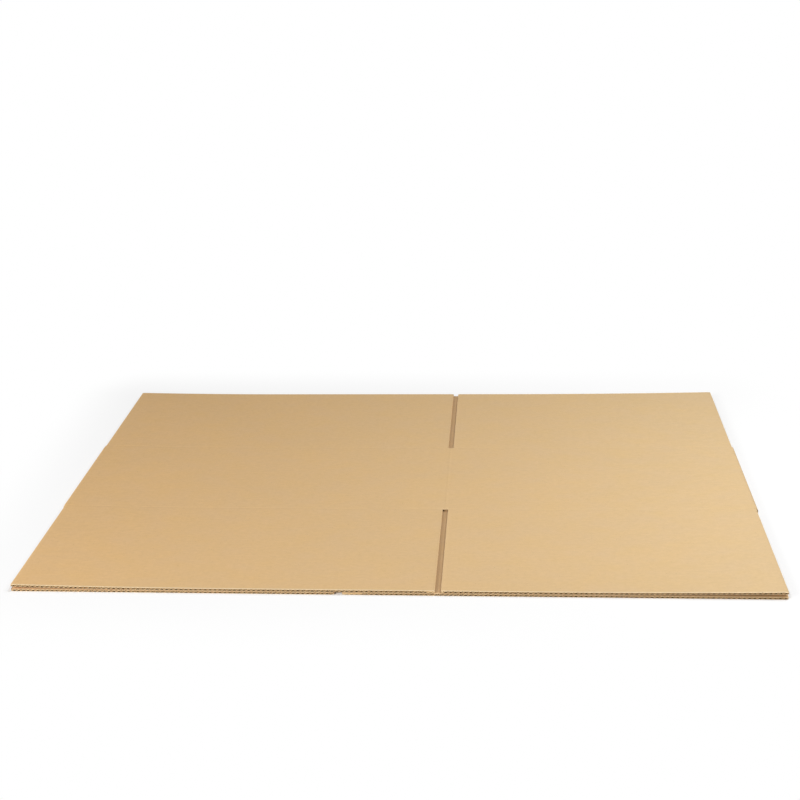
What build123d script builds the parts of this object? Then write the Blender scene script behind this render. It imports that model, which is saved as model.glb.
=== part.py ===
from build123d import *
from math import sqrt
import os

# A slotted corrugated box, folded flat as it is delivered: one sheet, creased, slotted and
# glued into a sleeve of two layers. The flutes run front to back, along Y. The upper layer
# is a long panel at the left and a short one at the right; the lower layer is a short panel
# at the left and a long one at the right, glued to each other along the joint.
# The origin is at the middle of the underside, X runs along the long edge, Z is up.

# The box that the sheet makes when it is squared up, inside.
inside_length = 560.0
inside_width = 440.0
inside_height = 200.0

# Single-wall board. The two faces and the wave between them.
board = 3.0
liner = 0.40
medium = 0.42
flute_pitch = 6.36

# What the creases take up, added to each panel and to the height.
panel_allowance = 3.0
height_allowance = 6.0
flap_allowance = 1.5

# Slots between neighbouring flaps, and how far the slotter crushes the flutes before and after
# each. Beyond the joint the long panel is crushed as far as the glue tab is lapped onto it.
slot_width = 8.0
slot_crush_before = 11.0
slot_crush_after = 3.5
joint_crush = 1.5
lap_crush = 27.0

# Creases: the shallow troughs pressed into the outside.
score_width = 2.4
score_depth = 0.28

# The two folded edges at the left and right ends.
fold_radius = 4.2
fold_wall = 2.3
fold_crush = 7.0

# How far the layers stand apart inside: pressed close in the middle, open towards the folds.
gap_middle = 1.0
gap_left = 4.0
gap_right = 4.6
flat_from = -250.0
flat_to = 150.0

# The glued joint, in the lower layer. The long panel's cut edge lies against the crease of
# the glue tab, which is lapped inside it. The short panel's flaps are cut back further.
joint_setback = 5.0
joint_gap = 1.6
joint_flap_trim = 9.0
tab_root = 4.0
tab_width = 35.0
tab_end_clearance = 3.0
tab_taper = 9.0
tab_proud = 0.7
lap_outer_board = 1.8

# Worked out from the sizes above.
long_panel = inside_length + panel_allowance
short_panel = inside_width + panel_allowance
width = long_panel + short_panel
body_height = inside_height + height_allowance
flap_depth = inside_width / 2 + flap_allowance
depth = body_height + 2 * flap_depth
score_y = body_height / 2
flap_middle_y = score_y + flap_depth / 2
left_end = -width / 2
right_end = width / 2
upper_crease_x = left_end + long_panel
tab_crease_x = left_end + short_panel - joint_setback
long_edge_x = tab_crease_x + joint_gap
upper_floor = board + gap_middle
clear_height = 2 * board + gap_left + gap_right


def raised(x):
    """How far the upper layer has risen at x, on the curves that lead up to both folds."""
    if x < flat_from:
        return (gap_left - gap_middle) * ((flat_from - x) / (flat_from - left_end)) ** 2
    if x > flat_to:
        return (gap_right - gap_middle) * ((x - flat_to) / (right_end - flat_to)) ** 2
    return 0.0


def upper_line(height, start, end):
    """A line of the upper layer at one height in the board: level, and curving up at its ends."""
    Bezier((start, height + raised(start)), ((start + flat_from) / 2, height), (flat_from, height))
    Line((flat_from, height), (flat_to, height))
    Bezier((flat_to, height), ((flat_to + end) / 2, height), (end, height + raised(end)))


def flute_places(first, crushed, height, lift):
    """Centres of one row of flutes, left out where the board is crushed for a crease or cut."""
    count = int((width - 2 * fold_crush) / flute_pitch)
    start = -flute_pitch * (count - 1) / 2 + first
    centres = [start + i * flute_pitch for i in range(count)]
    low, high = left_end + fold_crush, right_end - fold_crush
    reach = flute_pitch / 2
    return [(x, height + (lift(x) if lift else 0)) for x in centres
            if low < x - reach and x + reach < high
            and not any(a < x + reach and x - reach < b for a, b in crushed)]


# One flute's opening, a triangle between a face and the wave. The wave's slope runs from
# face to face in half a pitch, and its thickness is taken off both openings that it parts.
wave_height = board - 2 * liner
slope_length = sqrt(wave_height**2 + (flute_pitch / 2) ** 2)
across = medium / 2 * slope_length / wave_height
tip = medium / 2 * slope_length / (flute_pitch / 2)
half_base = flute_pitch / 2 - across
opening_down = [(-half_base, 0), (half_base, 0), (0, wave_height - tip)]
opening_up = [(-half_base, 0), (0, -(wave_height - tip)), (half_base, 0)]

upper_crushed = [(upper_crease_x - slot_width / 2 - slot_crush_before,
                  upper_crease_x + slot_width / 2 + slot_crush_after)]
lower_crushed = [(tab_crease_x - joint_flap_trim - joint_crush, long_edge_x + lap_crush)]
rows = [
    (opening_down, flute_places(0, lower_crushed, liner, None)),
    (opening_up, flute_places(flute_pitch / 2, lower_crushed, board - liner, None)),
    (opening_down, flute_places(0, upper_crushed, upper_floor + liner, raised)),
    (opening_up, flute_places(flute_pitch / 2, upper_crushed, upper_floor + board - liner, raised)),
]

# What is cut out of the sheet and what is pressed into it.
with BuildPart() as cuts:
    # The corner slots at both folds, half a slot from each layer, so the flaps end free.
    with BuildSketch(Plane.XY) as end_slots:
        for x in (left_end, right_end):
            with Locations((x, -flap_middle_y), (x, flap_middle_y)):
                Rectangle(slot_width, flap_depth)
    extrude(amount=clear_height)

    # The slots in the middle of the upper layer.
    with BuildSketch(Plane.XY.offset(board + gap_middle / 2)) as upper_slots:
        with Locations((upper_crease_x, -flap_middle_y), (upper_crease_x, flap_middle_y)):
            Rectangle(slot_width, flap_depth)
    extrude(amount=clear_height)

    # The joint from below: wide open between the flaps, a narrow gap over the tab.
    with BuildSketch(Plane.XY) as joint_slots:
        joint_slot_width = joint_flap_trim + joint_gap
        joint_slot_x = long_edge_x - joint_slot_width / 2
        with Locations((joint_slot_x, -flap_middle_y), (joint_slot_x, flap_middle_y)):
            Rectangle(joint_slot_width, flap_depth)
    extrude(amount=board + gap_middle / 2)
    with BuildSketch(Plane.XY) as joint_line:
        with Locations((long_edge_x - joint_gap / 2, 0)):
            Rectangle(joint_gap, body_height)
    extrude(amount=lap_outer_board)

    # The flap creases across both layers, and the upright crease between the two slots.
    for y in (-score_y, score_y):
        with BuildSketch(Plane.XZ.offset(-y - score_width / 2)) as flap_score:
            with BuildLine():
                upper_line(upper_floor + board - score_depth, left_end, right_end)
                Polyline(
                    (left_end, upper_floor + board - score_depth + raised(left_end)),
                    (left_end, clear_height),
                    (right_end, clear_height),
                    (right_end, upper_floor + board - score_depth + raised(right_end)),
                )
            make_face()
            Rectangle(width, score_depth, align=(Align.CENTER, Align.MIN))
        extrude(amount=score_width)
    with BuildSketch(Plane.XY.offset(upper_floor + board - score_depth)) as upright_score:
        with Locations((upper_crease_x, 0)):
            Rectangle(score_width, body_height)
    extrude(amount=clear_height)

with BuildPart() as flattened_box:
    # The section through both layers and both folds, run from the back to the front.
    with BuildSketch(Plane.XZ.offset(-depth / 2)) as section:
        with BuildLine():
            upper_line(upper_floor + board, left_end, right_end)
            Polyline(
                (left_end, upper_floor + board + raised(left_end)),
                (left_end, 0),
                (right_end, 0),
                (right_end, upper_floor + board + raised(right_end)),
            )
        make_face()
        corners = section.vertices().sort_by(Axis.X)
        fillet(corners[:2] + corners[-2:], fold_radius)
        with BuildLine():
            upper_line(upper_floor, left_end + fold_wall, right_end - fold_wall)
            Polyline(
                (left_end + fold_wall, upper_floor + raised(left_end + fold_wall)),
                (left_end + fold_wall, board),
                (right_end - fold_wall, board),
                (right_end - fold_wall, upper_floor + raised(right_end - fold_wall)),
            )
        make_face(mode=Mode.SUBTRACT)
        for opening, places in rows:
            with Locations(*places):
                Polygon(*opening, align=None, mode=Mode.SUBTRACT)
    extrude(amount=depth)

    # The glue tab, lapped inside the long panel and pressed into it, with tapered ends.
    with BuildSketch(Plane.XY.offset(liner / 2)) as glue_tab:
        with BuildLine():
            half = score_y - tab_end_clearance
            Polyline(
                (tab_crease_x - tab_root, -half),
                (tab_crease_x + joint_gap, -half),
                (tab_crease_x + tab_width, -(half - tab_taper)),
                (tab_crease_x + tab_width, half - tab_taper),
                (tab_crease_x + joint_gap, half),
                (tab_crease_x - tab_root, half),
                close=True,
            )
        make_face()
    extrude(amount=board - liner / 2 + tab_proud)

    add(cuts.part, mode=Mode.SUBTRACT)

flattened_box.part.label = "flattened_box"

os.makedirs("parts", exist_ok=True)
export_step(flattened_box.part, "parts/flattened_box.step")
print(f"flattened box {width:.0f} x {depth:.0f} mm, {sum(len(p) for _, p in rows)} flute openings")
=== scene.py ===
# %% [markdown]
# # A cardboard box, folded flat
# The object is one sheet of corrugated board, creased, slotted and glued into a sleeve, and
# pressed flat as it leaves the factory. The CAD model holds its size, its folds and its slots.
# This lesson dresses that model in paper: two smooth faces and a wave between them in each of
# the two layers, all with the thickness that shows at the cut edges, and a kraft finish.
# Everything is in metres, in the CAD model's own frame, so no piece is fitted afterwards.

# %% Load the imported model
import math

import bmesh
import bpy
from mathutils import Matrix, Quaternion, Vector, noise


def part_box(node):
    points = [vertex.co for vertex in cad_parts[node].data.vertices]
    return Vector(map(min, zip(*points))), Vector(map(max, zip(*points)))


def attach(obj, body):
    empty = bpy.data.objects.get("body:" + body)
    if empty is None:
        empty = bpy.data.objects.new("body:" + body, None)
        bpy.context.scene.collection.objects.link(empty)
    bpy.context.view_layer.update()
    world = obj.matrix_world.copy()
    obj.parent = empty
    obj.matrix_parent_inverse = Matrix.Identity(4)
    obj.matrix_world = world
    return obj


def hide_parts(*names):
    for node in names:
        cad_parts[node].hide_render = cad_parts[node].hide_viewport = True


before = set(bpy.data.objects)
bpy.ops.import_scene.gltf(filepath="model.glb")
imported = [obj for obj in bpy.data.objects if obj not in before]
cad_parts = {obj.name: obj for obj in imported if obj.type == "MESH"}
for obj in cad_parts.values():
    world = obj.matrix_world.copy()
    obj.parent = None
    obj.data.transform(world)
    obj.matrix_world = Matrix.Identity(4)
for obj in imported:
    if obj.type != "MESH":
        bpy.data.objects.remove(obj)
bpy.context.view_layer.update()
box_low, box_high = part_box("flattened_box")
mm = 0.001
width = box_high.x - box_low.x
depth = box_high.y - box_low.y
left_end = box_low.x
right_end = box_high.x
print(f"flat box {width / mm:.0f} x {depth / mm:.0f} mm, {box_high.z / mm:.1f} mm thick")

# %% [markdown]
# ## The board
# Single-wall board is two papers with a wave of a third paper glued between them. The values
# below are the ones the CAD model was built from. Everything is first drawn straight, with the
# two layers level and as far apart as they stand at the right fold. The upper layer is pressed
# down between the folds at the end, so no piece has to be drawn along a curve. `split` is a
# height between the layers, which tells one from the other.

# %% Values of the board
board = 3.0 * mm
paper = 0.40 * mm
wave_paper = 0.42 * mm
flute_pitch = 6.36 * mm
gap_middle = 1.0 * mm
gap_left = 4.0 * mm
gap_right = 4.6 * mm
upper_floor = board + gap_right
upper_top = upper_floor + board
split = board + gap_right / 2
print(f"board {board / mm:.1f} mm, about {width / flute_pitch:.0f} flutes across")

# %% [markdown]
# The flaps begin at the creases and are parted by slots: one in the middle of the upper layer,
# and one at the joint in the lower layer, which goes on as a narrow gap along the body. The
# slots at the corners are as wide as the one in the middle, but part of their width has gone
# round the fold, so from above the flaps end only a little short of it.

# %% Places of the creases, the slots and the joint
crease_y = 103.0 * mm
slot_x = 60.0 * mm
half_slot = 4.0 * mm
end_slot = 3.0 * mm
end_slot_x = width / 2 - end_slot
joint_left = -74.0 * mm
joint_line_left = -65.0 * mm
joint_right = -63.4 * mm
flap_depth = depth / 2 - crease_y
print(f"flaps {flap_depth / mm:.1f} mm deep, {end_slot / mm:.0f} mm short of the folds")

# %% [markdown]
# ## Working as by hand
# Each operator works on all that is selected, and loading the model leaves its parts selected.
# So the first helper clears the selection, and the others start from one chosen piece. Each
# piece has room for three finishes: its face, its cut edge and the side that faces the wave,
# which on the papers is a dark painted shade for the inside of the flutes.

# %% Choose a piece, name it and copy it
finish_count = 3
edge_finish = 1
# The third finish is a dark painted shade for the faces seen inside the flutes.
painted_shade_finish = 2


def clear_selection():
    """Leave edit mode and select nothing."""
    if bpy.context.object and bpy.context.object.mode != "OBJECT":
        bpy.ops.object.mode_set(mode="OBJECT")
    bpy.ops.object.select_all(action="DESELECT")


def choose(piece):
    """Select one piece alone and make it the active one."""
    clear_selection()
    bpy.context.view_layer.objects.active = piece
    piece.select_set(True)


def open_for_editing(piece):
    """Select one piece alone and enter edit mode."""
    choose(piece)
    bpy.ops.object.mode_set(mode="EDIT")


def fix_in_place(piece, name):
    """Name a new primitive, make room for its finishes, and put its place into its mesh."""
    piece.name = name
    piece.data.name = name
    for _ in range(finish_count):
        piece.data.materials.append(None)
    bpy.ops.object.transform_apply(location=True, rotation=True, scale=True)
    return piece


def copy_of(piece, name):
    """A copy with its own mesh."""
    choose(piece)
    bpy.ops.object.duplicate()
    bpy.context.object.name = name
    bpy.context.object.data.name = name
    return bpy.context.object


def apply_modifier(piece, modifier):
    """Make a modifier's result the piece's own mesh."""
    choose(piece)
    bpy.ops.object.modifier_apply(modifier=modifier.name)


# %% [markdown]
# Faces, edges and points are picked in code, by their place or by the way they face. `cut` is
# the bisect tool, used as a ruler and knife: it adds a line of points across a piece wherever
# something is to change later, such as a crease or the edge of a slot.

# %% Pick, cut and remove by place


def pick(piece, kind, wanted):
    """Select the faces, edges or points that pass a test of their place."""
    bpy.ops.mesh.select_mode(type=kind)
    bpy.ops.mesh.select_all(action="DESELECT")
    mesh = bmesh.from_edit_mesh(piece.data)
    if kind == "FACE":
        found = [f for f in mesh.faces if wanted(f.calc_center_median(), f.normal)]
    elif kind == "EDGE":
        found = [e for e in mesh.edges if wanted(e.verts[0].co, e.verts[1].co)]
    else:
        found = [v for v in mesh.verts if wanted(v.co)]
    for item in found:
        item.select_set(True)
    mesh.select_flush_mode()
    bmesh.update_edit_mesh(piece.data)
    return len(found)


def cut(piece, axis, places):
    """Bisect the whole piece at each place along X or Y, keeping both sides."""
    open_for_editing(piece)
    direction = Vector((1, 0, 0)) if axis == "X" else Vector((0, 1, 0))
    for place in places:
        bpy.ops.mesh.select_all(action="SELECT")
        bpy.ops.mesh.bisect(plane_co=direction * place, plane_no=direction)
    bpy.ops.object.mode_set(mode="OBJECT")


def remove_faces(piece, wanted):
    """Delete the faces whose middle passes a test."""
    open_for_editing(piece)
    if pick(piece, "FACE", lambda middle, normal: wanted(middle)):
        bpy.ops.mesh.delete(type="FACE")
    bpy.ops.object.mode_set(mode="OBJECT")


# %% [markdown]
# ## Pressing board
# Board is shaped by pressing: a crease, a cut edge and a fold are all places where its papers
# have moved towards or away from each other. A Displace modifier without a texture moves points
# straight along one axis, each by its own weight in a vertex group. So one helper does all of
# the pressing here: it paints a weight by place and moves the points by that share of a distance.
# The last one, `settle`, presses the upper layer down along the curve between the two folds.

# %% The press
flat_from = -250.0 * mm
flat_to = 150.0 * mm
drop = gap_right - gap_middle


def press(piece, title, distance, share, axis="Z"):
    """Move a piece's points along an axis by a distance times each point's share, 0 to 1."""
    group = piece.vertex_groups.new(name=title)
    for point in piece.data.vertices:
        weight = share(point.co)
        if weight > 0.0:
            group.add([point.index], min(weight, 1.0), "REPLACE")
    push = piece.modifiers.new(title, "DISPLACE")
    push.direction = axis
    push.mid_level = 0.0
    push.strength = distance
    push.vertex_group = group.name
    apply_modifier(piece, push)
    piece.vertex_groups.remove(piece.vertex_groups[title])


def gap_at(x):
    """How far the layers stand apart: level in the middle, and curving up to both folds."""
    if x < flat_from:
        return gap_middle + (gap_left - gap_middle) * ((flat_from - x) / (flat_from - left_end)) ** 2
    if x > flat_to:
        return gap_middle + drop * ((x - flat_to) / (right_end - flat_to)) ** 2
    return gap_middle


def settle(piece):
    """Press the upper layer down to its place."""
    press(piece, "settle", -drop, lambda p: (gap_right - gap_at(p.x)) / drop if p.z > split else 0.0)


# %% [markdown]
# The slotter's knives crush the board for a few millimetres beside every slot, and both faces
# of a layer give way by the same amount. A crease is a softer, rounded trough.

# %% Where the board gives way
pinch = 0.42 * mm
pinch_reach = 4.0 * mm
crease_reach = 1.1 * mm
flap_ramp = 3.0 * mm
touching = 0.01 * mm


def in_flaps(y):
    """1 in the flaps, 0 in the body of the box, with a short ramp beside the crease."""
    return min(max((abs(y) - crease_y) / flap_ramp, 0.0), 1.0)


def beside(distance):
    """1 at a cut edge, falling softly to 0 at the end of its reach."""
    if distance < -touching or distance > pinch_reach:
        return 0.0
    return 0.5 + 0.5 * math.cos(math.pi * max(distance, 0.0) / pinch_reach)


def pinched(place, upper):
    """How much of the pinch a layer's faces get at this place."""
    if upper:
        inner = beside(abs(place.x - slot_x) - half_slot)
    else:
        inner = max(beside(joint_left - place.x), beside(place.x - joint_right))
    return max(beside(end_slot_x - abs(place.x)), inner) * in_flaps(place.y)


def press_pinches(piece, towards_gap):
    """Press a face of each layer beside the slots: 1 moves it towards the gap, -1 away from it."""
    press(
        piece, "upper pinch", -pinch * towards_gap,
        lambda p: pinched(p, True) if p.z > split else 0.0,
    )
    press(
        piece, "lower pinch", pinch * towards_gap,
        lambda p: pinched(p, False) if p.z < split else 0.0,
    )


def crease(distance):
    """The soft trough of a crease, 1 at its middle."""
    return math.exp(-((distance / crease_reach) ** 2))


# %% [markdown]
# ## The outer paper
# Seen from outside, the box is a flat tube: a top, a bottom and two rounded folds. It could be
# drawn as a section and extruded, but a cube is nearer to hand: its front and back faces are
# deleted, its four long edges are beveled to the fold's radius, and the slots are cut out.
# Lines are cut beside every crease and slot first, so that pressing moves only what it should.

# %% Lines across the sleeve
curve_spacing = 18 * mm
crease_steps = [0.9 * mm, 1.8 * mm, 3.0 * mm, 4.2 * mm]
first_step = 1.3 * mm
pinch_steps = [0, first_step, 2.7 * mm, pinch_reach]
edge_line = 2.4 * mm


def around(place):
    """The middle of a crease and the lines on both sides of it."""
    return [place] + [place + side * step for step in crease_steps for side in (-1, 1)]


def along(edge, side):
    """An edge of a slot and the lines beside it, on one side."""
    return [edge + side * step for step in pinch_steps]


def every(spacing, start, end):
    """Evenly spaced places from start to end, both included."""
    count = round((end - start) / spacing)
    return [start + (end - start) * i / count for i in range(count + 1)]


# The first two rows already hold the ends of the flaps, so these are left out of the next two.
lines_x = every(curve_spacing, -end_slot_x, flat_from) + every(curve_spacing, flat_to, end_slot_x)
lines_x += along(-end_slot_x, 1)[1:] + along(end_slot_x, -1)[1:]
lines_x += around(slot_x) + along(slot_x - half_slot, -1) + along(slot_x + half_slot, 1)
lines_x += along(joint_left, -1) + along(joint_right, 1)
# The paler tone at a cut, loose fibres together with a painted highlight, fades out at the
# next line, so the joint's left edge has one close by.
lines_x += [joint_line_left - first_step, joint_line_left]
lines_y = around(-crease_y) + around(crease_y)
lines_y += [-depth / 2 + edge_line, depth / 2 - edge_line]
print(f"{len(lines_x)} lines along X, {len(lines_y)} along Y")

# %% [markdown]
# The paper inside the box is a smaller tube of the same kind, so the tube has a helper of its
# own. Another one tells whether a place lies in a slot. In the lower layer, the strip between
# the joint's two edges is open along the body too.

# %% Build the outer paper
fold_radius = 4.2 * mm
nearby = 1.0 * mm


def sleeve(name, low, high, half_width, radius, segments):
    """A flat tube along Y, open at the front and back, with rounded ends."""
    clear_selection()
    bpy.ops.mesh.primitive_cube_add(
        size=1.0, location=(0, 0, (low + high) / 2), scale=(2 * half_width, depth, high - low)
    )
    tube = fix_in_place(bpy.context.object, name)
    remove_faces(tube, lambda middle: abs(middle.y) > depth / 2 - nearby)
    open_for_editing(tube)
    pick(tube, "EDGE", lambda a, b: abs(a.x - b.x) < nearby and abs(a.z - b.z) < nearby)
    bpy.ops.mesh.bevel(offset=radius, segments=segments)
    bpy.ops.object.mode_set(mode="OBJECT")
    return tube


def in_slot(middle, upper):
    """Whether a place lies in one of the slots between the flaps of a layer."""
    if abs(middle.y) < crease_y:
        return False
    if upper:
        inside = abs(middle.x - slot_x) < half_slot
    else:
        inside = joint_left < middle.x < joint_right
    return inside or abs(middle.x) > end_slot_x


outer_paper = sleeve("outer_paper", 0, upper_top, width / 2, fold_radius, segments=8)
cut(outer_paper, "X", lines_x)
cut(outer_paper, "Y", lines_y)
remove_faces(outer_paper, lambda m: in_slot(m, m.z > split))
remove_faces(
    outer_paper,
    lambda m: m.z < split and abs(m.y) < crease_y and joint_line_left < m.x < joint_right,
)
print(f"outer paper: {len(outer_paper.data.polygons)} faces")

# %% [markdown]
# The paper is pressed into its creases from outside, so the upper face goes down and the lower
# face goes up. Every point on a border then gets a mark, which the finish reads later: loose
# fibres and a painted highlight along the rim make the paper paler there. Solidify gives the
# paper its thickness. The new faces round its border are the cut edges and take the second
# finish. The faces that look at the wave take the third, a dark painted shade for the inside
# of the flutes.

# %% Helpers that turn a sheet into paper
facing_wave = 0.5


def mark_cuts(piece):
    """Mark the points on a sheet's border, before it gets its thickness."""
    mesh = bmesh.new()
    mesh.from_mesh(piece.data)
    marks = [1.0 if point.is_boundary else 0.0 for point in mesh.verts]
    mesh.free()
    layer = piece.data.attributes.new("near_cut", "FLOAT", "POINT")
    layer.data.foreach_set("value", marks)


def thicken(piece, thickness, side):
    """Give a sheet its thickness: -1 inwards, 1 outwards, beyond these with a distance kept."""
    solid = piece.modifiers.new("thickness", "SOLIDIFY")
    solid.thickness = thickness
    solid.offset = side
    solid.use_even_offset = True
    solid.material_offset_rim = edge_finish
    apply_modifier(piece, solid)


def mark_painted_shade_side(piece, side):
    """Paint shade on the faces that look at the wave: 1 for a tube's outside, -1 inside."""
    open_for_editing(piece)
    pick(piece, "FACE", lambda m, n: side * n.z * (1 if m.z > split else -1) > facing_wave)
    # The dark finish on these faces is painted shade inside the flutes.
    piece.active_material_index = painted_shade_finish
    bpy.ops.object.material_slot_assign()
    bpy.ops.object.mode_set(mode="OBJECT")


# %% Press and thicken the outer paper
crease_depth = 0.28 * mm
for title, push, above in (("upper", -crease_depth, True), ("lower", crease_depth, False)):
    press(
        outer_paper, title + " creases", push,
        lambda p: crease(abs(p.y) - crease_y) if (p.z > split) == above else 0.0,
    )
press(
    outer_paper, "upright crease", -crease_depth,
    lambda p: crease(p.x - slot_x) * (1 - in_flaps(p.y)) if p.z > split else 0.0,
)
press_pinches(outer_paper, 1)
mark_cuts(outer_paper)
folded_wave = copy_of(outer_paper, "folded_wave")
thicken(outer_paper, paper, -1)
mark_painted_shade_side(outer_paper, -1)
settle(outer_paper)
print(f"outer paper: {len(outer_paper.data.polygons)} faces with its thickness")

# %% [markdown]
# ## The crushed wave in the folds
# At each fold the wave is crushed flat between its papers. It shows only at the ends of the
# corner slots, as a thin bent strip. The outer paper's own curve is the best pattern for it, so
# a copy of that sheet is trimmed to the folds and given its thickness one paper further in.

# %% Build the crushed wave
fold_wall = 2.3 * mm
crushed_wave = fold_wall - 2 * paper
remove_faces(folded_wave, lambda m: abs(m.x) < end_slot_x)
thicken(folded_wave, crushed_wave, -1 - 2 * paper / crushed_wave)
settle(folded_wave)
print(f"crushed wave: {len(folded_wave.data.polygons)} faces")

# %% [markdown]
# ## The inner paper
# The same tube again, but smaller: it is the sheet's inside, which the gap between the layers
# shows. It ends a little short of the folds, where the board's thickness lies round it.
# Under the glue tab the board is crushed to little more than half its thickness, so the paper
# is pressed down there, and a strip beside the tab's crease is open, as on the real joint.

# %% Where the glue tab lies
tab_root_x = -69.0 * mm
tab_end_x = -30.0 * mm
tab_half = 100.0 * mm
lap_board = 1.8 * mm
lap_ramp = 1.5 * mm
lap_lines_x = [tab_root_x, tab_end_x, tab_end_x + lap_ramp]
lap_lines_y = [side * (tab_half + step) for side in (-1, 1) for step in (0, lap_ramp)]
print(f"the tab is lapped {(tab_end_x - joint_right) / mm:.1f} mm onto the long panel")


def under_tab(place):
    """1 where the long panel is crushed under the tab, falling to 0 beside it."""
    if place.x < joint_right - touching:
        return 0.0
    along_x = (tab_end_x + lap_ramp - place.x) / lap_ramp
    along_y = (tab_half + lap_ramp - abs(place.y)) / lap_ramp
    return max(0.0, min(along_x, along_y, 1.0))


# %% Build the inner paper
inner_radius = 1.9 * mm
inner_half_width = width / 2 - fold_wall
inner_paper = sleeve("inner_paper", board, upper_floor, inner_half_width, inner_radius, segments=6)
cut(inner_paper, "X", lines_x + lap_lines_x)
cut(inner_paper, "Y", lines_y + lap_lines_y)
remove_faces(inner_paper, lambda m: in_slot(m, m.z > split))
remove_faces(
    inner_paper,
    lambda m: m.z < split and abs(m.y) < tab_half and tab_root_x < m.x < joint_right,
)
press(
    inner_paper, "lap", lap_board - board,
    lambda p: under_tab(p) if p.z < split else 0.0,
)
press_pinches(inner_paper, -1)
mark_cuts(inner_paper)
thicken(inner_paper, paper, 1)
mark_painted_shade_side(inner_paper, 1)
settle(inner_paper)
print(f"inner paper: {len(inner_paper.data.polygons)} faces")

# %% [markdown]
# ## The waves
# What makes the board stiff is the fluted paper between its faces, and at the front and back
# edges it shows as two rows of small dark openings. One flute is shaped from a narrow grid,
# column by column, and an Array repeats it across the box. The second wave is a copy.

# %% Shape one flute
columns = 10
column_width = flute_pitch / columns
wave_half_height = (board - 2 * paper - wave_paper) / 2
flutes_to_one_side = 78
first_x = -(flutes_to_one_side + 0.5) * flute_pitch

clear_selection()
bpy.ops.mesh.primitive_grid_add(
    x_subdivisions=columns, y_subdivisions=1, size=flute_pitch,
    location=(-flutes_to_one_side * flute_pitch, 0, 0),
)
upper_wave = fix_in_place(bpy.context.object, "upper_wave")
open_for_editing(upper_wave)
bpy.ops.transform.resize(value=(1, depth / flute_pitch, 1))
for column in range(columns + 1):
    column_x = first_x + column * column_width
    pick(upper_wave, "VERT", lambda co: abs(co.x - column_x) < column_width / 4)
    height = -wave_half_height * math.cos(2 * math.pi * column / columns)
    bpy.ops.transform.translate(value=(0, 0, height))
bpy.ops.object.mode_set(mode="OBJECT")
print(f"one flute of {columns} columns, {2 * wave_half_height / mm:.2f} mm high")

# %% Repeat it in a row
row = upper_wave.modifiers.new("row", "ARRAY")
row.count = 2 * flutes_to_one_side + 1
row.use_relative_offset = False
row.use_constant_offset = True
row.constant_offset_displace = (flute_pitch, 0, 0)
row.use_merge_vertices = True
row.merge_threshold = touching
apply_modifier(upper_wave, row)
cut(upper_wave, "Y", [-crease_y - flap_ramp, -crease_y, crease_y, crease_y + flap_ramp])
lower_wave = copy_of(upper_wave, "lower_wave")
print(f"each wave has {2 * flutes_to_one_side + 1} flutes")

# %% [markdown]
# Real flutes lean a little and differ in height, and beside some slots the slotter has crushed
# them into a solid band. The waves are pressed like the faces, with their crests going down
# and their troughs going up. How much each flute differs comes from a smooth noise, read at the
# flute's own place, so the box is the same each time it is made.

# %% How the flutes vary
band_ramp = 1.2 * mm
crush_before_slot = 11.0 * mm
crush_after_slot = 3.5 * mm
lap_crush = 27.0 * mm
flattened = 0.8
change_per_flute = 0.9
change_per_metre = 4


def band(x, start, end):
    """1 between two places along X, with short ramps inside its ends."""
    return max(0.0, min((x - start) / band_ramp, (end - x) / band_ramp, 1.0))


def crushed(place, upper):
    """Where the slotter or the lapped tab has crushed the flutes into a solid band."""
    if upper:
        share = band(
            place.x, slot_x - half_slot - crush_before_slot, slot_x + half_slot + crush_after_slot
        )
    else:
        share = flattened * band(place.x, joint_left - band_ramp, joint_right + lap_crush)
    return share * in_flaps(place.y)


def wander(place, seed):
    """A slow change from flute to flute, between 0 and 1."""
    spot = Vector((place.x / flute_pitch * change_per_flute, place.y * change_per_metre, seed))
    return 0.5 + 0.5 * noise.noise(spot)


# %% Lift a wave to its layer and cut its slots


def trim_wave(piece, middle, upper):
    """Lift a wave to the middle of its layer and cut the slots out of it."""
    open_for_editing(piece)
    bpy.ops.mesh.select_all(action="SELECT")
    bpy.ops.transform.translate(value=(0, 0, middle))
    bpy.ops.object.mode_set(mode="OBJECT")
    if upper:
        slot_edges = [slot_x - half_slot, slot_x + half_slot]
    else:
        slot_edges = [joint_left, tab_root_x, joint_right]
    cut(piece, "X", [-end_slot_x, end_slot_x] + slot_edges)
    remove_faces(piece, lambda m: abs(m.x) > end_slot_x or in_slot(m, upper))
    if not upper:
        remove_faces(piece, lambda m: abs(m.y) < crease_y and tab_root_x < m.x < joint_right)


# %% Press a wave
lean = 0.9 * mm
unevenness = 0.16 * mm
ragged = 0.5 * mm
lean_seed = 3.0
upper_seed = 7.0
ragged_seed = 20.0


def shape_wave(piece, middle, upper):
    """Lean the flutes, make their heights uneven and press them where the board is crushed."""

    def crest(place):
        return max(0.0, (place.z - middle) / wave_half_height)

    def trough(place):
        return max(0.0, (middle - place.z) / wave_half_height)

    def leaning(place):
        return wander(place, lean_seed + upper) * (0.5 + (crest(place) - trough(place)) / 2)

    press(piece, "lean", lean, leaning, "X")
    for title, side, part in (("crests", -1, crest), ("troughs", 1, trough)):
        press(
            piece, title, side * unevenness,
            lambda p: wander(p, side + upper_seed * upper) * part(p),
        )
        press(piece, title, side * pinch, lambda p: pinched(p, upper) * part(p))
        press(
            piece, title, side * flattened * wave_half_height,
            lambda p: crushed(p, upper) * part(p),
        )


def tear_ends(piece):
    """Pull the front and back ends of a wave in by uneven amounts."""
    for side in (-1, 1):
        press(
            piece, "ragged", -side * ragged,
            lambda p: wander(p, ragged_seed + side) if p.y * side > depth / 2 - nearby else 0.0,
            "Y",
        )


# %% [markdown]
# Where the band is solid the sheet is thickened as well, as crumpled paper is: Solidify reads
# from a vertex group how thick each part of the sheet becomes. The lower wave also goes down
# with the inner paper under the glue tab.

# %% Thicken a wave, and finish both
crushed_thickness = 1.4 * mm


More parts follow.
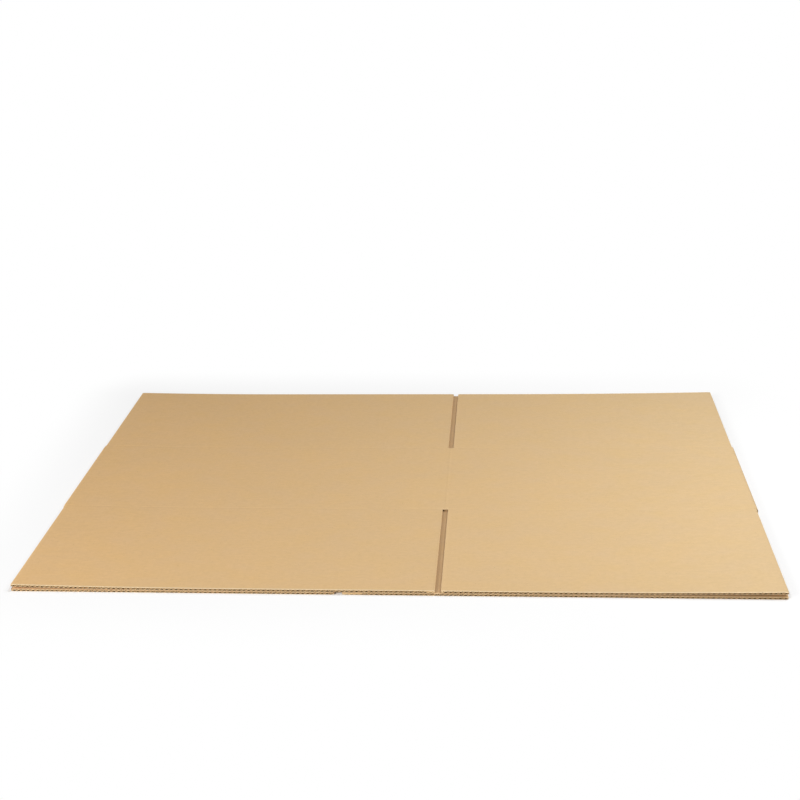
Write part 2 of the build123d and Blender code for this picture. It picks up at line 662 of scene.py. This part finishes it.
def thicken_wave(piece, upper):
    """Give a wave its paper's thickness, and more where it is crumpled."""
    group = piece.vertex_groups.new(name="crumpled")
    for point in piece.data.vertices:
        group.add([point.index], crushed(point.co, upper), "REPLACE")
    solid = piece.modifiers.new("thickness", "SOLIDIFY")
    solid.thickness = crushed_thickness
    solid.offset = 0.0
    solid.vertex_group = group.name
    solid.thickness_vertex_group = wave_paper / crushed_thickness
    solid.material_offset_rim = edge_finish
    apply_modifier(piece, solid)


for wave, layer_floor, is_upper in ((upper_wave, upper_floor, True), (lower_wave, 0.0, False)):
    layer_middle = layer_floor + board / 2
    trim_wave(wave, layer_middle, is_upper)
    shape_wave(wave, layer_middle, is_upper)
    tear_ends(wave)
    if not is_upper:
        press(
            wave, "lap", lap_board - board,
            lambda p: under_tab(p) * (p.z - paper) / (board - 2 * paper),
        )
    thicken_wave(wave, is_upper)
    settle(wave)
    print(f"{wave.name}: {len(wave.data.polygons)} faces")

# %% [markdown]
# ## The glue tab
# The tab is a tapered flap of the short panel, lapped inside the long panel and glued to it.
# It is crushed board, so it is drawn as one thin block. Its end is narrowed by scaling, and
# its root is extruded down to the crease where it leaves the short panel.

# %% Build the glue tab
tab_end_half = 91.0 * mm
tab_proud = 0.7 * mm
facing = 0.9

clear_selection()
bpy.ops.mesh.primitive_cube_add(
    size=1.0,
    location=((joint_line_left + tab_end_x) / 2, 0, (lap_board + board + tab_proud) / 2),
    scale=(tab_end_x - joint_line_left, 2 * tab_half, board + tab_proud - lap_board),
)
glue_tab = fix_in_place(bpy.context.object, "glue_tab")
open_for_editing(glue_tab)
pick(glue_tab, "FACE", lambda middle, normal: normal.x > facing)
bpy.ops.transform.resize(value=(1, tab_end_half / tab_half, 1))
pick(glue_tab, "FACE", lambda middle, normal: normal.x < -facing)
bpy.ops.mesh.extrude_region_move(
    TRANSFORM_OT_translate={"value": (tab_root_x - joint_line_left, 0, 0)}
)
print(f"glue tab: {2 * tab_half / mm:.0f} mm long, {2 * tab_end_half / mm:.0f} mm at its end")

# %% Bend its root down and round its edges
tab_edge_radius = 0.35 * mm
side_edge = 10 * mm


def at_root(co):
    """Whether a point is one of the four at the tab's root."""
    return co.x < tab_root_x + touching


def round_on_the_tab(a, b):
    """The upper edges of the tab, apart from the one at its root and the one at its crease."""
    if min(a.z, b.z) < board - touching:
        return False
    return abs(a.x - b.x) > side_edge or min(a.x, b.x) > tab_end_x - nearby


pick(glue_tab, "VERT", lambda co: at_root(co) and co.z < board)
bpy.ops.transform.translate(value=(0, 0, paper - lap_board))
pick(glue_tab, "VERT", lambda co: at_root(co) and co.z > board)
bpy.ops.transform.translate(value=(0, 0, -tab_proud))
pick(glue_tab, "EDGE", round_on_the_tab)
bpy.ops.mesh.bevel(offset=tab_edge_radius, segments=3)
bpy.ops.object.mode_set(mode="OBJECT")
print(f"glue tab: {len(glue_tab.data.polygons)} faces")

# %% [markdown]
# ## Shader maths in Python
# A material is a chain of nodes, and most of it is arithmetic. The class `Field` wraps one
# output of a node, so that sums are written as sums and become Math nodes. `Finish` is a
# material being made. Its method `node` adds any other node, and its further methods are short
# ways to write the nodes that are used most.

# %% A number that varies over a surface


class Field:
    """One output of a node, with the arithmetic of a number."""

    def __init__(self, finish, socket):
        self.finish = finish
        self.socket = socket

    def combine(self, operation, first, second):
        """Add a Math node for one step of the arithmetic."""
        return self.finish.node("ShaderNodeMath", {"operation": operation}, {0: first, 1: second})

    def __add__(self, other):
        return self.combine("ADD", self, other)

    def __sub__(self, other):
        return self.combine("SUBTRACT", self, other)

    def __rsub__(self, other):
        return self.combine("SUBTRACT", other, self)

    def __mul__(self, other):
        return self.combine("MULTIPLY", self, other)

    __radd__ = __add__
    __rmul__ = __mul__


# %% A finish and its nodes


class Finish:
    """A material being made: its nodes, the method that adds them and short ways to use it."""

    def __init__(self, tree):
        self.tree = tree
        self.tree.nodes.clear()

    def node(self, kind, settings=None, sockets=None, output=0):
        """Add a node: its settings first, then the values or links of its sockets."""
        made = self.tree.nodes.new(kind)
        for name, value in (settings or {}).items():
            setattr(made, name, value)
        for key, value in (sockets or {}).items():
            if isinstance(value, Field):
                self.tree.links.new(value.socket, made.inputs[key])
            else:
                made.inputs[key].default_value = value
        return Field(self, made.outputs[output]) if made.outputs else None

    def vector(self, operation, first, second):
        """Vector arithmetic, with a vector or a plain number second."""
        key = "Scale" if operation == "SCALE" else 1
        return self.node("ShaderNodeVectorMath", {"operation": operation}, {0: first, key: second})

    def ramp(self, value, low, high, kind="SMOOTHSTEP"):
        """0 below a low value, 1 above a high one, and a ramp between them."""
        return self.node(
            "ShaderNodeMapRange", {"interpolation_type": kind},
            {"Value": value, "From Min": low, "From Max": high},
        )

    def blend(self, share, first, second, kind="MIX"):
        """Two colours mixed, each a plain colour or the output of a node."""
        return self.node(
            "ShaderNodeMix", {"data_type": "RGBA", "blend_type": kind},
            {0: share, 6: first, 7: second}, output=2,
        )

    def noise_of(self, place, size, detail):
        """Cloudy noise, 0 to 1, whose clouds have a size along X, Y and Z."""
        drawn = self.vector("DIVIDE", place, size)
        return self.node("ShaderNodeTexNoise", {}, {"Vector": drawn, "Scale": 1.0, "Detail": detail})

    def place_in_mm(self):
        """The place on the piece in millimetres, so that every size below is a real one."""
        place = self.node("ShaderNodeTexCoord", output="Object")
        return self.vector("SCALE", place, 1 / mm)


# %% New materials and their tones


def new_material(name):
    """An empty material and the finish that fills it."""
    material = bpy.data.materials.new(name)
    material.use_nodes = True
    return material, Finish(material.node_tree)


def tone(red, green, blue):
    """A colour as a screen shows it, 0 to 255, turned by the sRGB formula into a shader's light."""
    parts = []
    for value in (red, green, blue):
        v = value / 255
        parts.append(v / 12.92 if v <= 0.04045 else ((v + 0.055) / 1.055) ** 2.4)
    return (*parts, 1.0)


# %% [markdown]
# ## Kraft paper
# Brown kraft is never one flat colour. Its fibres lie unevenly, so it is faintly cloudy, drawn
# out along the way that the paper ran through the machine, which is across the flutes, and it
# has patches of a warmer brown, a few centimetres wide. Single fibres show as short light and
# dark hairs, and specks of bark as dark dots. From the left end to the right this sheet also
# turns from a reddish brown to a yellower one. A colour image could hold all that, but noise
# at the real sizes holds it at any distance.

# %% The marks in the paper, with sizes in millimetres
cloud_size = (160.0, 90.0, 90.0)
patch_size = (38.0, 24.0, 24.0)
formation_size = (9.0, 3.6, 3.6)
hair_size = (3.4, 0.22, 0.22)
hair_ramp = 0.12
speck_spacing = 3.0
specks_from = 0.80
largest_speck = 0.16
speck_ramp = 0.05

# Two kinds of each hair: its turn in radians, and the level of the noise above which it shows.
light_hair_kinds = ((0.20, 0.56), (-0.35, 0.58))
dark_hair_kinds = ((0.05, 0.57), (1.35, 0.60))


def hairs(finish, place, kinds):
    """Single fibres of two kinds, each turned its own way."""
    fields = []
    for turn, level in kinds:
        turned = finish.node(
            "ShaderNodeVectorRotate", {"rotation_type": "Z_AXIS"}, {"Vector": place, "Angle": turn}
        )
        fibres = finish.noise_of(turned, hair_size, 1.0)
        fields.append(finish.ramp(fibres, level, level + hair_ramp))
    return fields[0] + fields[1]


def bark_specks(finish, place):
    """Dots of bark: one cell in five holds a dot, and each dot has a size of its own."""
    cell = {"Vector": place, "Scale": 1 / speck_spacing}
    distance = finish.node("ShaderNodeTexVoronoi", {}, cell)
    kind = finish.node("ShaderNodeTexVoronoi", {}, cell, output="Color")
    kind = finish.node("ShaderNodeSeparateColor", {}, {"Color": kind})
    size = finish.node(
        "ShaderNodeMapRange", {}, {"Value": kind, "From Min": specks_from, "To Max": largest_speck}
    )
    return finish.ramp(size - distance, 0.0, speck_ramp)


# %% [markdown]
# The marks are then added up, each at its own strength. Most only make the brown lighter or
# darker. The clouds and the patches also change its hue, and the points marked at the cuts mix
# in a paler tone, partly loose fibres and partly a painted highlight along the rim. The fibres,
# and the ribs of the flutes that show through, also have a height, which a Bump node turns into
# light and shade.

# %% How strongly each mark shows
cloud_shade = 0.06
cloud_blend = 1.6
cloud_tint = (1.0, 0.985, 0.955, 1.0)
patch_red = 0.03
patch_blue = 0.16
formation_shade = 0.12
formation_height = 0.03
light_hair_shade = 0.05
dark_hair_shade = 0.055
speck_shade = 0.42
# Paler loose fibres at a cut; the same tone paints a highlight along the rim.
loose_fibres_and_rim_highlight = tone(245, 226, 190)
roughness = 0.74
roughness_change = 0.12
widest_speck = 2 * largest_speck * speck_spacing
print(f"bark specks are up to {widest_speck:.1f} mm wide and {speck_shade:.0%} darker")

# %% The kraft finish


def kraft(name, left_tone, right_tone, flecks=1.0, grain=0.012, ribs=0.0, shine=0.3, worn_and_highlit=0.0):
    """Unprinted kraft paper. The grain of its hairs and its ribs are heights in millimetres."""
    material, finish = new_material(name)
    place = finish.place_in_mm()
    clouds = finish.noise_of(place, cloud_size, 3.0) - 0.5
    formation = finish.noise_of(place, formation_size, 3.0) - 0.5
    warmth = finish.noise_of(place, patch_size, 2.0) - 0.5
    light_hairs = hairs(finish, place, light_hair_kinds)
    dark_hairs = hairs(finish, place, dark_hair_kinds)
    specks = bark_specks(finish, place)

    x_in_mm = finish.node("ShaderNodeSeparateXYZ", {}, {0: place})
    to_the_right = finish.ramp(x_in_mm, left_end / mm, right_end / mm, "LINEAR")
    colour = finish.blend(to_the_right, left_tone, right_tone)
    level = 1.0 + clouds * cloud_shade + formation * formation_shade
    level = level + light_hairs * light_hair_shade - dark_hairs * dark_hair_shade
    level = level - specks * (speck_shade * flecks)
    colour = finish.vector("SCALE", colour, level)
    colour = finish.blend(0.5 + clouds * cloud_blend, colour, cloud_tint, "MULTIPLY")
    tint = {"X": 1.0 + warmth * patch_red, "Y": 1.0, "Z": 1.0 - warmth * patch_blue}
    colour = finish.vector("MULTIPLY", colour, finish.node("ShaderNodeCombineXYZ", {}, tint))
    near_cut = finish.node("ShaderNodeAttribute", {"attribute_name": "near_cut"}, output="Fac")
    # Near the cuts the paper turns paler: loose fibres and a painted highlight along the rim.
    colour = finish.blend(near_cut * worn_and_highlit, colour, loose_fibres_and_rim_highlight)

    turns = x_in_mm * (2 * math.pi * mm / flute_pitch)
    rib = finish.node("ShaderNodeMath", {"operation": "COSINE"}, {0: turns})
    height = formation * formation_height + (light_hairs - dark_hairs) * grain + rib * ribs
    bump = finish.node("ShaderNodeBump", {}, {"Height": height, "Distance": mm, "Strength": 1.0})
    surface = finish.node(
        "ShaderNodeBsdfPrincipled", {},
        {
            "Base Color": colour,
            "Roughness": roughness - formation * roughness_change,
            "Specular IOR Level": shine,
            "Normal": bump,
        },
    )
    finish.node("ShaderNodeOutputMaterial", {}, {"Surface": surface})
    return material


# %% [markdown]
# The box needs four such papers: the outside, the inside, a dark one that paints the shade
# inside the flutes on the sides that face the wave, and the wave. They differ in tone, in how
# many specks they show and in how rough they are.

# %% The four papers
outer_kraft = kraft("outer_kraft", tone(223, 184, 132), tone(215, 186, 142), ribs=0.012, worn_and_highlit=0.9)
inner_kraft = kraft(
    "inner_kraft", tone(214, 176, 132), tone(210, 178, 134), flecks=1.3, ribs=0.010, worn_and_highlit=0.4
)
# This dark paper is painted shade: it darkens the faces inside the flutes.
painted_shade_kraft = kraft(
    "painted_shade_kraft", tone(84, 52, 24), tone(84, 54, 26), flecks=0.5, grain=0.02, shine=0.1
)
wave_kraft = kraft(
    "wave_kraft", tone(208, 162, 104), tone(206, 162, 106), flecks=0.6, grain=0.02, shine=0.1
)
for paper_finish in (outer_kraft, inner_kraft, painted_shade_kraft, wave_kraft):
    print(f"{paper_finish.name}: {len(paper_finish.node_tree.nodes)} nodes")

# %% [markdown]
# A cut edge is paper seen end on. The knife tears as much as it cuts, so the edge is fuzzy,
# and it is lighter where loose fibres catch the light and darker between them.

# %% The finish of the cut edges
tear_size = (1.4, 1.4, 0.16)
tear_from = 0.36
tear_to = 0.60
tear_height = 0.12


def cut_edge(name, light, dark):
    """The torn, layered look of paper seen at its cut edge."""
    material, finish = new_material(name)
    torn = finish.noise_of(finish.place_in_mm(), tear_size, 3.0)
    colour = finish.blend(finish.ramp(torn, tear_from, tear_to), dark, light)
    height = torn * tear_height
    bump = finish.node("ShaderNodeBump", {}, {"Height": height, "Distance": mm, "Strength": 1.0})
    surface = finish.node(
        "ShaderNodeBsdfPrincipled", {},
        {"Base Color": colour, "Roughness": 0.9, "Specular IOR Level": 0.15, "Normal": bump},
    )
    finish.node("ShaderNodeOutputMaterial", {}, {"Surface": surface})
    return material


face_edge = cut_edge("face_edge", tone(248, 222, 180), tone(218, 180, 132))
wave_edge = cut_edge("wave_edge", tone(246, 214, 162), tone(214, 170, 114))
print(f"{face_edge.name} and {wave_edge.name}: {len(face_edge.node_tree.nodes)} nodes each")

# %% [markdown]
# ## Dressing the model
# Each piece gets its papers and rides on the one body, and the CAD model's plain solid is
# then hidden.

# %% Finish and join every piece
smooth_below = math.radians(40)
for piece, finishes in (
    (outer_paper, (outer_kraft, face_edge, painted_shade_kraft)),
    (inner_paper, (inner_kraft, face_edge, painted_shade_kraft)),
    (upper_wave, (wave_kraft, wave_edge, wave_kraft)),
    (lower_wave, (wave_kraft, wave_edge, wave_kraft)),
    (folded_wave, (wave_kraft, wave_edge, wave_kraft)),
    (glue_tab, (inner_kraft, face_edge, inner_kraft)),
):
    choose(piece)
    bpy.ops.object.shade_smooth_by_angle(angle=smooth_below)
    for index, material in enumerate(finishes):
        piece.data.materials[index] = material
    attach(piece, "root")
    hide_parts("flattened_box")
    low = min(v.co.z for v in piece.data.vertices)
    high = max(v.co.z for v in piece.data.vertices)
    print(f"{piece.name} lies from {low / mm:.2f} to {high / mm:.2f} mm")

# %% [markdown]
# ## The studio
# The box lies on a white floor that runs on past the view. For the camera most of the floor's
# white comes from itself, more so further away, and nothing does under the box. The rest is
# lit, so the floor still takes the box's soft shadow.

# %% Floor
floor_size = 60.0
floor_drop = 0.05 * mm
floor_tone = tone(250, 250, 250)
plain_white = (1, 1, 1, 1)
near_white = 0.72
contact_reach = 4 * mm
shadow_reach = 0.14


def seen_by_camera(finish):
    """1 for rays that show the background: straight to the camera, mirrored or through glass."""
    kinds = ("Is Camera Ray", "Is Glossy Ray", "Is Transmission Ray")
    first, second, third = [finish.node("ShaderNodeLightPath", output=kind) for kind in kinds]
    return first + second + third


clear_selection()
bpy.ops.mesh.primitive_plane_add(size=floor_size, location=(0, 0, -floor_drop))
floor = fix_in_place(bpy.context.object, "floor")
floor_material, studio = new_material("studio_white")

# How far a place lies outside the box, seen from above: the 1.0 takes away any height.
place = studio.vector("ABSOLUTE", studio.node("ShaderNodeTexCoord", output="Object"), (0, 0, 0))
beyond = studio.vector("SUBTRACT", place, (width / 2, depth / 2, 1.0))
beyond = studio.vector("MAXIMUM", beyond, (0, 0, 0))
away = studio.node("ShaderNodeVectorMath", {"operation": "LENGTH"}, {0: beyond}, output="Value")

own_share = studio.ramp(away, 0.0, contact_reach) * near_white
own_share = own_share + studio.ramp(away, 0.0, shadow_reach) * (1 - near_white)
lit = studio.node(
    "ShaderNodeBsdfPrincipled", {},
    {"Base Color": floor_tone, "Roughness": 0.9, "Specular IOR Level": 0.1},
)
own_white = studio.node("ShaderNodeEmission", {}, {"Color": plain_white, "Strength": 1.0})
look = studio.node(
    "ShaderNodeMixShader", {}, {0: seen_by_camera(studio) * own_share, 1: lit, 2: own_white}
)
studio.node("ShaderNodeOutputMaterial", {}, {"Surface": look})
floor.data.materials[0] = floor_material
print(f"floor: its own white grows to full {shadow_reach:.2f} m from the box")

# %% [markdown]
# Two soft lamps light the box: one hangs over its right end, and one stands low in front at the
# left, so its light reaches into the flutes and the gap. The world fills the shade a little.
# Together they are at a level where paper renders in its own colour. Their places were found by
# comparing the brightness of the upper face with the photograph's from end to end.

# %% World and lamps
fill_level = 0.20
world = bpy.data.worlds.new("studio")
world.use_nodes = True
bpy.context.scene.world = world
air = Finish(world.node_tree)
fill = air.node("ShaderNodeBackground", {}, {"Color": plain_white, "Strength": fill_level})
white = air.node("ShaderNodeBackground", {}, {"Color": plain_white, "Strength": 1.0})
sky = air.node("ShaderNodeMixShader", {}, {0: seen_by_camera(air), 1: fill, 2: white})
air.node("ShaderNodeOutputWorld", {}, {"Surface": sky})

# Each lamp: its name, its place, the place it points at, its size in metres and its watts.
for name, lamp_place, lit_place, size, energy in (
    ("lamp_right", Vector((0.90, -0.08, 1.20)), Vector((0.90, -0.08, 0.0)), 0.7, 13.0),
    ("lamp_front_left", Vector((-1.66, -1.78, 1.20)), Vector((-0.30, -0.30, 0.0)), 0.9, 56.0),
):
    bpy.ops.object.light_add(type="AREA", location=lamp_place)
    lamp = bpy.context.object
    lamp.name = name
    lamp.data.shape = "SQUARE"
    lamp.data.size = size
    lamp.data.energy = energy
    lamp.rotation_euler = (lit_place - lamp_place).to_track_quat("-Z", "Y").to_euler()
    print(f"{name} is {(lit_place - lamp_place).length:.1f} m away, {energy:.0f} W")

# %% [markdown]
# ## The camera
# The angles, the distance and the lens were found by fitting the flat box's corners to the
# photograph. The picture was cropped off centre, so the lens is shifted a little to the side.

# %% Camera
picture_width = 800
focal_pixels = 1239.0
centre_pixel_x = 415.0
turn = math.radians(4.48)
height_angle = math.radians(23.0)
roll = math.radians(-1.77)
aim = Vector((-11.6, 314.4, 0.0)) * mm
distance = 2175.1 * mm

across = math.cos(height_angle)
towards_camera = Vector((math.sin(turn) * across, -math.cos(turn) * across, math.sin(height_angle)))
bpy.ops.object.camera_add(location=aim + towards_camera * distance)
camera = bpy.context.object
camera.name = "camera"
camera.rotation_mode = "QUATERNION"
level_view = (-towards_camera).to_track_quat("-Z", "Y")
camera.rotation_quaternion = level_view @ Quaternion((0, 0, 1), roll)
camera.data.sensor_width = 36.0
camera.data.lens = focal_pixels / picture_width * camera.data.sensor_width
camera.data.shift_x = (picture_width / 2 - centre_pixel_x) / picture_width
bpy.context.scene.camera = camera
bpy.context.scene.view_settings.view_transform = "Standard"
print(f"camera at {[round(c, 3) for c in camera.location]}, lens {camera.data.lens:.1f} mm")
